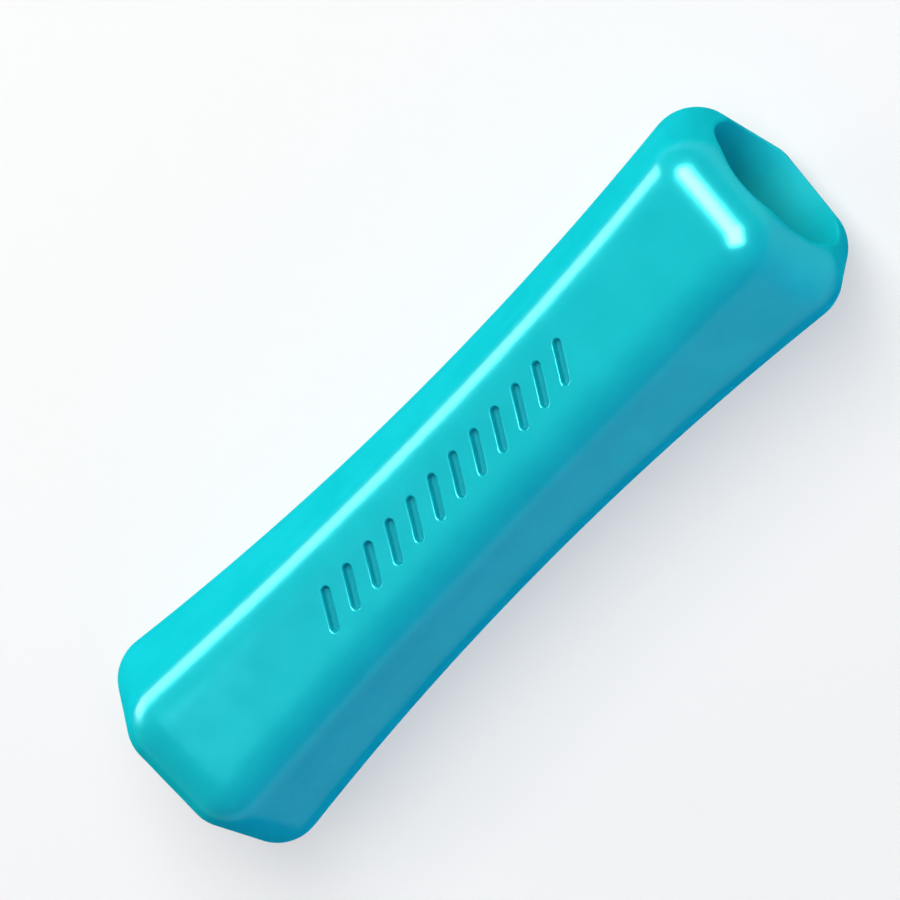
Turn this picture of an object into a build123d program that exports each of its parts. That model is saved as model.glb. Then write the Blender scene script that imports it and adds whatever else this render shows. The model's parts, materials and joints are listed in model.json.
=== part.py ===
from build123d import *
import os
from math import cos, radians, sin

# Slip-on pencil grip: one waisted, six-sided sleeve of soft elastomer, moulded in one shot.
# Frame: millimetres, the bore runs along X, the origin is at mid-length on the bore's axis, +Z is up.

# Bore, round and open from end to end
BORE_DIAMETER = 8.0

# Sleeve
LENGTH = 42.2
SIDES = 6
WAIST_WALL = 0.82       # between the middle of a side and the bore, at mid-length
END_WALL = 2.0          # the same, carried on to the end planes
END_ROUND = 2.4         # rounding between the sides and each end face
CORNER_EXTRA = 0.1      # how much larger the long corners are rounded than the ends
TWIST = 17.0            # degrees that the sides turn from one end to the other

# Row of slanted grip notches along the top side
NOTCH_COUNT = 12
NOTCH_PITCH = 1.55
NOTCH_LENGTH = 2.2
NOTCH_WIDTH = 0.42
NOTCH_DEPTH = 0.38
NOTCH_SLANT = 30.0      # degrees away from square across the side

# Sections that the sides are drawn through
SECTION_COUNT = 9

bore_radius = BORE_DIAMETER / 2
half_length = LENGTH / 2
corner_radius = END_ROUND + CORNER_EXTRA
section_step = LENGTH / (SECTION_COUNT - 1)


def side_height(x):
    """Distance from the bore's axis to the middle of a side, least at the waist."""
    return bore_radius + WAIST_WALL + (END_WALL - WAIST_WALL) * (x / half_length) ** 2


def side_turn(x):
    """Angle in degrees by which the sides have turned about X, none at the waist."""
    return -TWIST / 2 * x / half_length


def section_plane(x):
    """Plane square to the bore, with its own y direction pointing out of the top side."""
    turn = radians(side_turn(x))
    return Plane(origin=(x, 0, 0), x_dir=(0, cos(turn), sin(turn)), z_dir=(1, 0, 0))


def notch_floor_plane(x):
    """Plane of a notch's floor: under the middle line of the top side, facing out of it."""
    turn = radians(side_turn(x))
    outward = Vector(0, -sin(turn), cos(turn))
    floor = Vector(x, 0, 0) + outward * (side_height(x) - NOTCH_DEPTH)
    return Plane(origin=floor, x_dir=(1, 0, 0), z_dir=outward)


os.makedirs("parts", exist_ok=True)

# Sleeve: rounded hexagons lofted from end to end, rounded at both ends, then bored and notched
with BuildPart() as grip_sleeve:
    for index in range(SECTION_COUNT):
        station = -half_length + index * section_step
        with BuildSketch(section_plane(station)) as section:
            RegularPolygon(side_height(station), SIDES, major_radius=False)
            fillet(section.vertices(), corner_radius)
    loft()

    end_faces = grip_sleeve.faces().sort_by(Axis.X)
    fillet(end_faces[0].edges() + end_faces[-1].edges(), END_ROUND)

    with Locations(Plane.YZ):
        Hole(bore_radius)

    for index in range(NOTCH_COUNT):
        station = (index - (NOTCH_COUNT - 1) / 2) * NOTCH_PITCH
        with BuildSketch(notch_floor_plane(station)):
            SlotOverall(NOTCH_LENGTH, NOTCH_WIDTH, rotation=90 - NOTCH_SLANT)
        extrude(amount=2 * NOTCH_DEPTH, mode=Mode.SUBTRACT)

grip_sleeve.part.label = "grip_sleeve"
export_step(grip_sleeve.part, "parts/grip_sleeve.step")
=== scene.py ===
import bpy
import json
import numpy as np
from math import atan, cos, hypot, pi, radians, sin
from mathutils import Matrix, Vector


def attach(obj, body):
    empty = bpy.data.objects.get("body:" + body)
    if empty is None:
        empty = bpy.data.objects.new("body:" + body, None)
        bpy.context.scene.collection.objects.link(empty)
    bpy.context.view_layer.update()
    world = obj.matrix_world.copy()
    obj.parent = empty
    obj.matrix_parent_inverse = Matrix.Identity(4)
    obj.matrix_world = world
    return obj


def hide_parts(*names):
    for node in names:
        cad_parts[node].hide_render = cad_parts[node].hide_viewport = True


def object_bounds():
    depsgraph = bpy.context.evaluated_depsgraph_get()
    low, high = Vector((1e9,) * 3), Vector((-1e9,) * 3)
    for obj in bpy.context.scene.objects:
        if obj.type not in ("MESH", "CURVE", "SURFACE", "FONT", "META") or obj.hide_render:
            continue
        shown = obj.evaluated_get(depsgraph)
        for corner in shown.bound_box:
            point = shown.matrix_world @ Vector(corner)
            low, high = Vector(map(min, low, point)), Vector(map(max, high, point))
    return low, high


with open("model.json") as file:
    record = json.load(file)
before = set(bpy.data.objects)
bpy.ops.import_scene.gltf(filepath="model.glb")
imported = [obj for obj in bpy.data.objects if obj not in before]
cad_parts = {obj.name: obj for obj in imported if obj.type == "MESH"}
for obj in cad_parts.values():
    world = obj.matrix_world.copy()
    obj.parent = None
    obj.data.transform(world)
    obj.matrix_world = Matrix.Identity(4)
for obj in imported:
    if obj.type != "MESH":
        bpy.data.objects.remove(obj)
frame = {"record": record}
cad_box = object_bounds()

# Sleeve: the whole grip, a waisted six-sided tube whose sides turn a little from end to end.
# It is soft turquoise elastomer, moulded in one shot round a core pin that leaves the bore.
# Nothing fastens it: it is pushed on from either end and holds by its own stretch.
mm = 0.001
bore_radius = frame["record"]["mounts"][0]["dims"]["r_mm"] * mm
half_length = 21.1 * mm
waist_wall = 0.82 * mm
end_wall = 2.0 * mm
end_round = 2.4 * mm
corner_extra = 0.1 * mm
corner_radius = end_round + corner_extra
dish_depth = 0.05 * mm
rim_soften = 0.12 * mm
twist = radians(17.0)
side_count = 6
half_corner = pi / side_count

notch_count = 12
notch_pitch = 1.55 * mm
notch_length = 2.2 * mm
notch_width = 0.42 * mm
notch_depth = 0.38 * mm
notch_slant = radians(30.0)
notch_lip = 0.08 * mm

# How finely the mesh is divided, closest along the notches.
corner_steps = 12
plain_side_steps = 9
notched_side_steps = 62
plain_step = 0.5 * mm
notched_step = 0.047 * mm
rounding_steps = 18
rim_halvings = 30
bore_steps = 24

# Places round the outline, clockwise from the notched top side: a side, then the corner after it.
toward_corner = []
outward = []
across_side = []
for side in range(side_count):
    facing = pi / 2 - side * 2 * half_corner
    corners = [np.array((cos(facing + turn), sin(facing + turn)))
               for turn in (half_corner, -half_corner)]
    side_steps = notched_side_steps if side == 0 else plain_side_steps
    for step in range(1, side_steps):
        share = step / side_steps
        toward_corner.append((1 - share) * corners[0] + share * corners[1])
        outward.append((cos(facing), sin(facing)))
        across_side.append(2 * share - 1)
    for step in range(corner_steps + 1):
        angle = facing - step / corner_steps * 2 * half_corner
        toward_corner.append(corners[1])
        outward.append((cos(angle), sin(angle)))
        across_side.append(1.0)
toward_corner = np.array(toward_corner)
outward = np.array(outward)
across_side = np.array(across_side)
place_count = len(outward)
notched_places = range(notched_side_steps - 1)


def side_height(x):
    """Distance from the bore's axis to the middle of a side, least at the waist."""
    return bore_radius + waist_wall + (end_wall - waist_wall) * (x / half_length) ** 2


def skin_ring(x, inset):
    """One ring of points: each place of the outline at its own x, pressed in by its own inset."""
    reach = (side_height(x) - corner_radius) / cos(half_corner)
    dished = inset + dish_depth * (1 - across_side ** 2) ** 2 * (1 - (x / half_length) ** 2)
    local = reach[:, None] * toward_corner + (corner_radius - dished)[:, None] * outward
    turn = -twist / 2 * x / half_length
    y = local[:, 0] * np.cos(turn) - local[:, 1] * np.sin(turn)
    z = local[:, 0] * np.sin(turn) + local[:, 1] * np.cos(turn)
    return np.column_stack((x, y, z))


def notch_inset(x):
    """How far each place is pressed in at x by the slanted notches, with softened edges."""
    inset = np.zeros(place_count)
    half_side = (side_height(x) - corner_radius) * np.tan(half_corner)
    nearest = round(x / notch_pitch + (notch_count - 1) / 2)
    for index in range(max(nearest - 1, 0), min(nearest + 2, notch_count)):
        ahead = x - (index - (notch_count - 1) / 2) * notch_pitch
        for place in notched_places:
            aside = across_side[place] * half_side
            along = ahead * sin(notch_slant) + aside * cos(notch_slant)
            away = ahead * cos(notch_slant) - aside * sin(notch_slant)
            past_end = max(abs(along) - (notch_length - notch_width) / 2, 0.0)
            inside = (notch_width / 2 - hypot(past_end, away)) / notch_lip
            fade = min(max(inside + 0.5, 0.0), 1.0)
            inset[place] = max(inset[place], notch_depth * fade * fade * (3 - 2 * fade))
    return inset


# The sides run between the two end roundings, in finer steps along the notches.
flare = atan(2 * (end_wall - waist_wall) * (half_length - end_round) / half_length ** 2)
rounding_start = half_length - end_round * (1 + sin(flare))
notched_half = notch_count / 2 * notch_pitch + notch_length / 2
stations = [-rounding_start]
while stations[-1] < rounding_start - plain_step:
    station_step = notched_step if abs(stations[-1]) < notched_half else plain_step
    stations.append(stations[-1] + station_step)
stations.append(rounding_start)
side_insets = [notch_inset(x) for x in stations]
side_rings = [skin_ring(np.full(place_count, x), inset)
              for x, inset in zip(stations, side_insets)]

# Each end rolls over from the sides to a softened rim, and the bore's wall joins the two rims.
# The rim's two rings sink into the mouth and stand off the wall by shares of the softening.
rounding_height = side_height(half_length - end_round) - end_round / cos(flare)
rim_shares = ((0.25, 0.25), (1.0, 0.0))


def rounding_ring(angle, sign):
    """A ring over the end rounding, each place at its own angle from square to the bore."""
    x = half_length - end_round + end_round * np.sin(angle)
    inset = side_height(x) - rounding_height - end_round * np.cos(angle)
    return skin_ring(sign * x, inset)


def bore_distance(ring):
    """Distance of each point of a ring from the bore's axis."""
    return np.hypot(ring[:, 1], ring[:, 2])


def end_rings(sign):
    """Rings from the side over one end, round the rim and into the mouth of the bore."""
    low = np.full(place_count, -flare)
    high = np.full(place_count, pi / 2)
    for halving in range(rim_halvings):
        middle = (low + high) / 2
        outside = bore_distance(rounding_ring(middle, sign)) > bore_radius + rim_soften
        low = np.where(outside, middle, low)
        high = np.where(outside, high, middle)
    rings = []
    for step in range(1, rounding_steps + 1):
        rings.append(rounding_ring(-flare + step / rounding_steps * (low + flare), sign))
    rim_edge = rings[-1]
    for sunk, stand_off in rim_shares:
        ring = rim_edge.copy()
        ring[:, 1:] *= ((bore_radius + stand_off * rim_soften) / bore_distance(ring))[:, None]
        ring[:, 0] -= sign * sunk * rim_soften
        rings.append(ring)
    return rings


first_end = end_rings(-1)
last_end = end_rings(1)
bore_rings = []
for step in range(1, bore_steps):
    share = step / bore_steps
    ring = (1 - share) * last_end[-1] + share * first_end[-1]
    ring[:, 1:] *= (bore_radius / bore_distance(ring))[:, None]
    bore_rings.append(ring)

rings = first_end[::-1] + side_rings + last_end + bore_rings
faces = []
for row in range(len(rings)):
    next_row = (row + 1) % len(rings)
    for place in range(place_count):
        beside = (place + 1) % place_count
        faces.append((row * place_count + place, next_row * place_count + place,
                      next_row * place_count + beside, row * place_count + beside))
sleeve_mesh = bpy.data.meshes.new("grip_sleeve_skin")
sleeve_mesh.from_pydata(np.concatenate(rings).tolist(), [], faces)
sleeve_mesh.shade_smooth()

# Each point keeps how deep it lies in a notch, from 0 to 1, for the painted shade and the matt
# finish in the notches.
no_inset = np.zeros(place_count)
insets = ([no_inset] * len(first_end) + side_insets
          + [no_inset] * (len(last_end) + len(bore_rings)))
pressed_in = sleeve_mesh.attributes.new("pressed_in", "FLOAT", "POINT")
pressed_in.data.foreach_set("value", np.concatenate(insets) / notch_depth)
sleeve = bpy.data.objects.new("grip_sleeve_skin", sleeve_mesh)
bpy.context.scene.collection.objects.link(sleeve)

# The elastomer: clouded pigment, gloss that varies a little and the fine grain of the mould.
# The core pin leaves the bore matt, and so does the etched mould in the notches, which are also
# painted a darker shade the deeper they lie.
pigment_deep = (0.004, 0.520, 0.580, 1.0)
pigment_pale = (0.007, 0.560, 0.622, 1.0)
# painted shade for the insides of the notches, darker than the pigment
painted_notch_shade = (0.003, 0.340, 0.420, 1.0)
highlight_tint = (0.14, 1.0, 1.0, 1.0)
noise_low = 0.30
noise_high = 0.70
roughness_least = 0.215
roughness_most = 0.245
matt_added_roughness = 0.40
matt_lost_shine = 0.85
matt_bore_edge = 0.02 * mm
full_shine_facing = 0.10
no_shine_facing = 0.52
grain_height = 0.003 * mm

elastomer = bpy.data.materials.new("turquoise_elastomer")
elastomer.use_nodes = True
nodes = elastomer.node_tree.nodes
links = elastomer.node_tree.links
shader = nodes["Principled BSDF"]
shader.inputs["IOR"].default_value = 1.55
shader.inputs["Specular Tint"].default_value = highlight_tint
shader.inputs["Subsurface Weight"].default_value = 0.15
shader.inputs["Subsurface Radius"].default_value = (0.3, 1.0, 1.0)
shader.inputs["Subsurface Scale"].default_value = 0.5 * mm
coordinates = nodes.new("ShaderNodeTexCoord")


def grip_noise(per_metre, detail):
    """Noise that is fixed to the grip, with its scale in patches to the metre."""
    noise = nodes.new("ShaderNodeTexNoise")
    noise.inputs["Scale"].default_value = per_metre
    noise.inputs["Detail"].default_value = detail
    links.new(coordinates.outputs["Object"], noise.inputs["Vector"])
    return noise.outputs["Fac"]


def carried_over(value, start, end, at_start, at_end, easing="LINEAR"):
    """A node's value carried from one range of numbers to another, and held beyond its ends."""
    node = nodes.new("ShaderNodeMapRange")
    node.interpolation_type = easing
    node.inputs["From Min"].default_value = start
    node.inputs["From Max"].default_value = end
    node.inputs["To Min"].default_value = at_start
    node.inputs["To Max"].default_value = at_end
    links.new(value, node.inputs["Value"])
    return node.outputs["Result"]


def worked_out(material, operation, *terms):
    """The result of one sum in a material, on numbers and the values of other nodes."""
    node = material.node_tree.nodes.new("ShaderNodeMath")
    node.operation = operation
    for socket, term in zip(node.inputs, terms):
        if isinstance(term, bpy.types.NodeSocket):
            material.node_tree.links.new(term, socket)
        else:
            socket.default_value = term
    return node.outputs["Value"]


pigment_cloud = nodes.new("ShaderNodeValToRGB")
pigment_cloud.color_ramp.elements[0].position = noise_low
pigment_cloud.color_ramp.elements[0].color = pigment_deep
pigment_cloud.color_ramp.elements[1].position = noise_high
pigment_cloud.color_ramp.elements[1].color = pigment_pale
links.new(grip_noise(per_metre=350.0, detail=3.0), pigment_cloud.inputs["Fac"])

# Painted shade: the deeper a point lies in a notch, the more its colour turns to the darker notch
# shade.
in_notch = nodes.new("ShaderNodeAttribute")
in_notch.attribute_name = "pressed_in"
notch_shade_mix = nodes.new("ShaderNodeMix")
notch_shade_mix.data_type = "RGBA"
painted_shade_share, unshaded_colour, painted_shade_colour = [notch_shade_mix.inputs[index] for index in (0, 6, 7)]
painted_shade_colour.default_value = painted_notch_shade
links.new(in_notch.outputs["Fac"], painted_shade_share)
links.new(pigment_cloud.outputs["Color"], unshaded_colour)
links.new(notch_shade_mix.outputs[2], shader.inputs["Base Color"])

flattened = nodes.new("ShaderNodeVectorMath")
flattened.operation = "MULTIPLY"
flattened.inputs[1].default_value = (0.0, 1.0, 1.0)
from_axis = nodes.new("ShaderNodeVectorMath")
from_axis.operation = "LENGTH"
links.new(coordinates.outputs["Object"], flattened.inputs[0])
links.new(flattened.outputs["Vector"], from_axis.inputs[0])
in_bore = carried_over(from_axis.outputs["Value"], bore_radius + matt_bore_edge,
                       bore_radius + rim_soften, 1.0, 0.0)
matt_share = worked_out(elastomer, "MAXIMUM", in_bore, in_notch.outputs["Fac"])
gloss_patches = carried_over(grip_noise(per_metre=900.0, detail=4.0), noise_low, noise_high,
                             roughness_least, roughness_most)
roughness = worked_out(elastomer, "MULTIPLY_ADD", matt_share, matt_added_roughness, gloss_patches)
links.new(roughness, shader.inputs["Roughness"])

grazing = nodes.new("ShaderNodeLayerWeight")
grazing.inputs["Blend"].default_value = 0.5
grazing_shine = carried_over(grazing.outputs["Facing"], full_shine_facing, no_shine_facing,
                             1.0, 0.0, "SMOOTHSTEP")
shine_left = worked_out(elastomer, "MULTIPLY_ADD", matt_share, -matt_lost_shine, 1.0)
shine = worked_out(elastomer, "MULTIPLY", grazing_shine, shine_left)
links.new(shine, shader.inputs["Specular IOR Level"])

mould_grain = nodes.new("ShaderNodeBump")
mould_grain.inputs["Strength"].default_value = 1.0
mould_grain.inputs["Distance"].default_value = grain_height
links.new(grip_noise(per_metre=2500.0, detail=2.0), mould_grain.inputs["Height"])
links.new(mould_grain.outputs["Normal"], shader.inputs["Normal"])
sleeve_mesh.materials.append(elastomer)

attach(sleeve, "root")
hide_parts("grip_sleeve")

# Floor: a plain pale sheet of paper that the grip lies on, level with its lowest point.
# It is partly white of itself wherever it is seen, and still takes the grip's shadow.
floor_half = 0.6
floor_level = cad_box[0][2]
paper_colour = (0.88, 0.88, 0.88, 1.0)
paper_own_white = 0.55
floor_corners = [(x * floor_half, y * floor_half, floor_level)
                 for x, y in ((-1, -1), (1, -1), (1, 1), (-1, 1))]
floor_mesh = bpy.data.meshes.new("floor")
floor_mesh.from_pydata(floor_corners, [], [(0, 1, 2, 3)])
floor = bpy.data.objects.new("floor", floor_mesh)
bpy.context.scene.collection.objects.link(floor)

floor_paper = bpy.data.materials.new("floor_paper")
floor_paper.use_nodes = True
paper_nodes = floor_paper.node_tree.nodes
paper_links = floor_paper.node_tree.links
paper_shader = paper_nodes["Principled BSDF"]
paper_shader.inputs["Base Color"].default_value = paper_colour
paper_shader.inputs["Roughness"].default_value = 0.8
paper_shader.inputs["Specular IOR Level"].default_value = 0.0
paper_white = paper_nodes.new("ShaderNodeEmission")
light_path = paper_nodes.new("ShaderNodeLightPath").outputs
seen_direct = worked_out(floor_paper, "ADD",
                         light_path["Is Camera Ray"], light_path["Is Glossy Ray"])
seen_at_all = worked_out(floor_paper, "ADD", seen_direct, light_path["Is Transmission Ray"])
seen_at_all.node.use_clamp = True
whitened = paper_nodes.new("ShaderNodeMixShader")
paper_links.new(worked_out(floor_paper, "MULTIPLY", seen_at_all, paper_own_white),
                whitened.inputs["Fac"])
paper_links.new(paper_shader.outputs["BSDF"], whitened.inputs[1])
paper_links.new(paper_white.outputs["Emission"], whitened.inputs[2])
paper_links.new(whitened.outputs["Shader"], paper_nodes["Material Output"].inputs["Surface"])
floor_mesh.materials.append(floor_paper)

# Light: a soft box over the right-hand end, a low one beside the grip, a cool panel across from
# it and an even surround. A second lamp by each white box makes nothing but highlights.


def soft_box(place, long_way, width, height, watts, shading=True, highlights=True):
    """A white lamp facing the grip, sized in metres, with its width running along long_way."""
    lamp = bpy.data.lights.new("soft_box", "AREA")
    lamp.shape = "RECTANGLE"
    lamp.size = width
    lamp.size_y = height
    lamp.energy = watts
    back = Vector(place).normalized()
    side = (Vector(long_way) - back * back.dot(Vector(long_way))).normalized()
    facing_grip = Matrix((side, back.cross(side), back)).transposed().to_4x4()
    box = bpy.data.objects.new("soft_box", lamp)
    box.matrix_world = Matrix.Translation(place) @ facing_grip
    box.visible_camera = False
    box.visible_diffuse = shading
    box.visible_glossy = highlights
    bpy.context.scene.collection.objects.link(box)
    return box


soft_box(place=(0.100, 0.080, 0.272), long_way=(0.0, -1.0, 0.29),
         width=0.28, height=0.18, watts=0.89, highlights=False)
soft_box(place=(0.118, 0.050, 0.270), long_way=(-0.55, -1.0, 0.20),
         width=0.235, height=0.175, watts=5.80, shading=False)
soft_box(place=(-0.085, 0.115, 0.030), long_way=(1.0, 0.0, 0.0),
         width=0.09, height=0.070, watts=0.084)
soft_box(place=(-0.045, 0.084, 0.019), long_way=(1.0, 0.0, 0.0),
         width=0.064, height=0.046, watts=0.112, shading=False)
cool_panel = soft_box(place=(0.040, -0.400, 0.050), long_way=(1.0, 0.0, 0.0),
                      width=0.40, height=0.16, watts=0.48, highlights=False)
cool_panel.data.color = (0.05, 0.10, 1.0)

surround = bpy.data.worlds.new("surround")
surround.use_nodes = True
surround_light = surround.node_tree.nodes["Background"]
surround_light.inputs["Color"].default_value = (0.96, 0.98, 1.0, 1.0)
surround_light.inputs["Strength"].default_value = 0.16
bpy.context.scene.world = surround

# Camera: a long lens looking down on the grip, whose bore runs from lower left to upper right
# with its right-hand mouth tilted toward the lens.
photo_size = 900
grip_middle_px = Vector((481.8, 477.7))
metres_per_px = 0.0482 * mm
bore_slope = radians(44.92)
bore_tilt = radians(18.2)
top_side_roll = radians(11.2)
lens_mm = 800.0
sensor_mm = 36.0

to_camera = Vector((sin(bore_tilt),
                    -cos(bore_tilt) * sin(top_side_roll),
                    cos(bore_tilt) * cos(top_side_roll)))
along_bore = Vector((1, 0, 0)) - to_camera * to_camera.x
along_bore.normalize()
across_bore = along_bore.cross(to_camera)
camera_right = along_bore * cos(bore_slope) + across_bore * sin(bore_slope)
camera_up = along_bore * sin(bore_slope) - across_bore * cos(bore_slope)
offset = (grip_middle_px - Vector((photo_size / 2, photo_size / 2))) * metres_per_px
aim = -camera_right * offset.x + camera_up * offset.y
camera_distance = photo_size * metres_per_px * lens_mm / sensor_mm

camera_data = bpy.data.cameras.new("camera")
camera_data.lens = lens_mm
camera_data.sensor_width = sensor_mm
camera = bpy.data.objects.new("camera", camera_data)
turned = Matrix((camera_right, camera_up, to_camera)).transposed().to_4x4()
camera.matrix_world = Matrix.Translation(aim + to_camera * camera_distance) @ turned
bpy.context.scene.collection.objects.link(camera)
bpy.context.scene.camera = camera

bpy.context.scene.view_settings.view_transform = "Standard"
